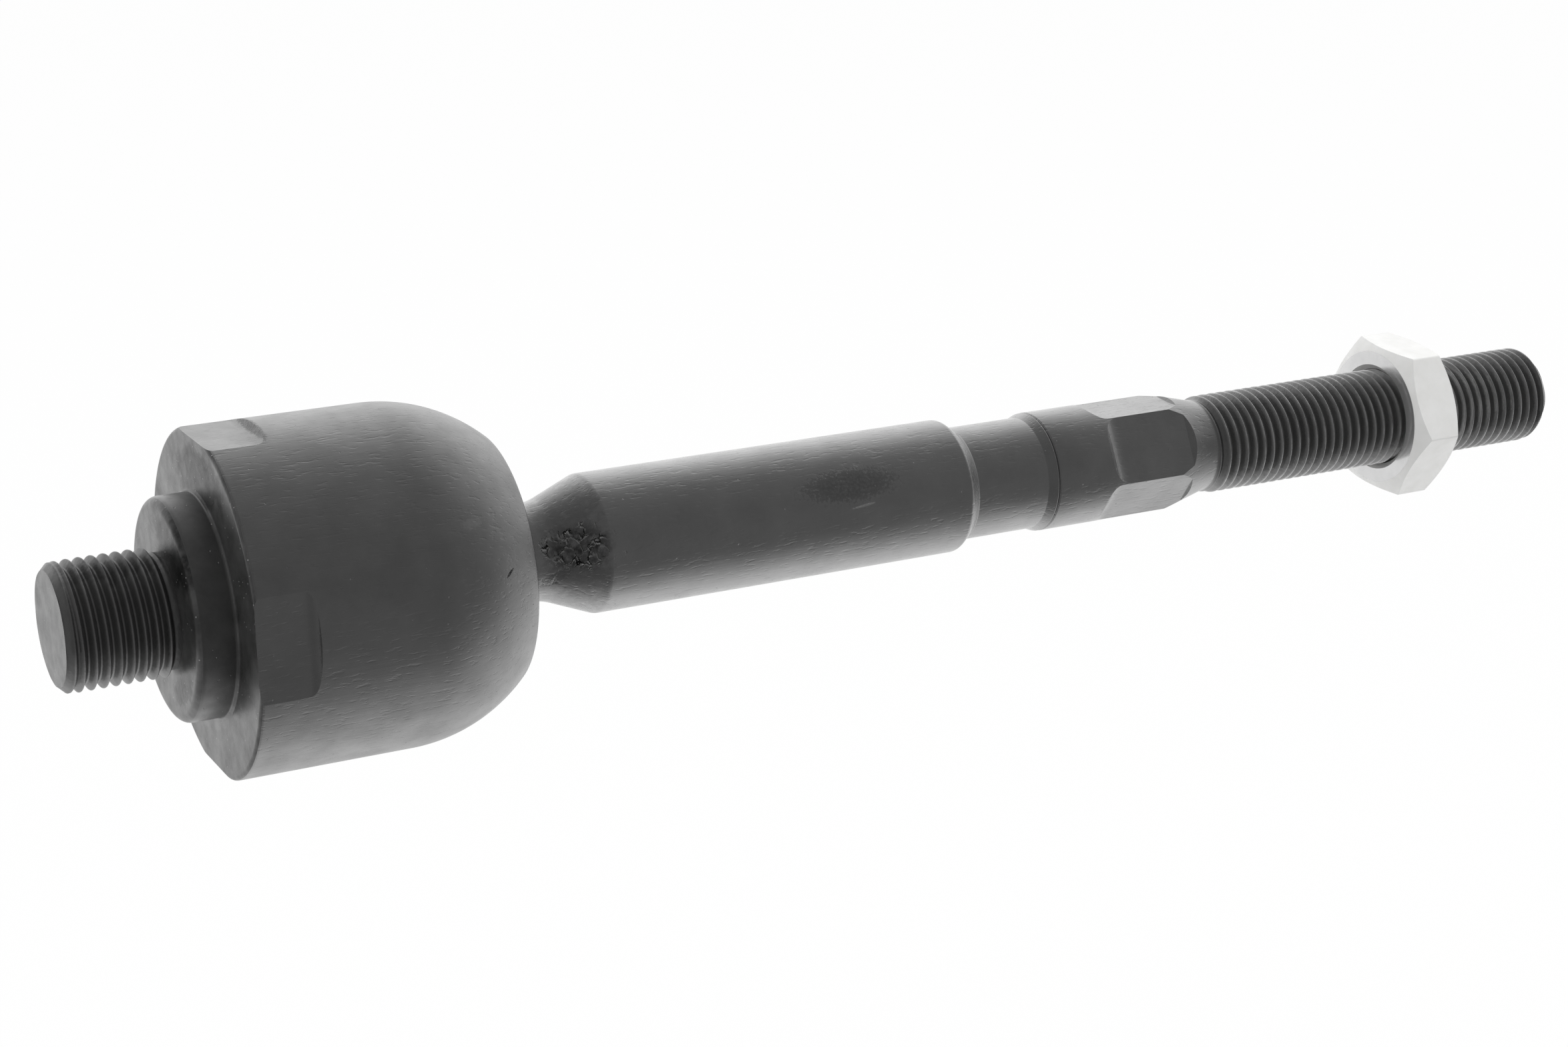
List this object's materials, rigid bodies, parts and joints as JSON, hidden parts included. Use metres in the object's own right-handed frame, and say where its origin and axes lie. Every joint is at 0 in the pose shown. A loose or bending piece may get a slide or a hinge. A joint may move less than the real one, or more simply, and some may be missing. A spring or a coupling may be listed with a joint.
{
  "type": "inner tie rod",
  "caption": "Steering axial rod: a domed ball socket with a short threaded stud, and a ball-ended rod with a long outer thread that carries a thin hexagon jam nut.",
  "frame": {"origin": "centre of the round shoulder's face that seats against the steering rack, on the rod's axis", "axes": "+X along the rod, from the rack stud to the outer thread; +Z square to one pair of the socket's wrench flats, upwards as pictured"},
  "size_m": [0.2235, 0.0436, 0.0436],
  "materials": {
    "phosphated_steel": "satin black phosphate over forged and turned steel",
    "zinc_plated_steel": "bright zinc plate",
    "acetal": "moulded, natural colour",
    "spring_steel": "oiled"
  },
  "bodies": {
    "socket_body": {"socket": "phosphated_steel", "bearing_shell": "acetal", "disc_spring": "spring_steel"},
    "cup_body": {"seat_cup": "acetal"},
    "rod_body": {"rod": "phosphated_steel"},
    "nut_body": {"jam_nut": "zinc_plated_steel"}
  },
  "joints": [
    {"name": "ball_turn", "type": "hinge", "parent": "socket_body", "child": "cup_body", "pos_m": [0.0276, 0, 0], "axis": [1, 0, 0], "continuous": true},
    {"name": "ball_swing", "type": "hinge", "parent": "cup_body", "child": "rod_body", "pos_m": [0.0276, 0, 0], "axis": [0, 1, 0], "range_deg": [-22, 22]},
    {"name": "nut_travel", "type": "slide", "parent": "rod_body", "child": "nut_body", "axis": [1, 0, 0], "range_m": [-0.031, 0.018]}
  ]
}
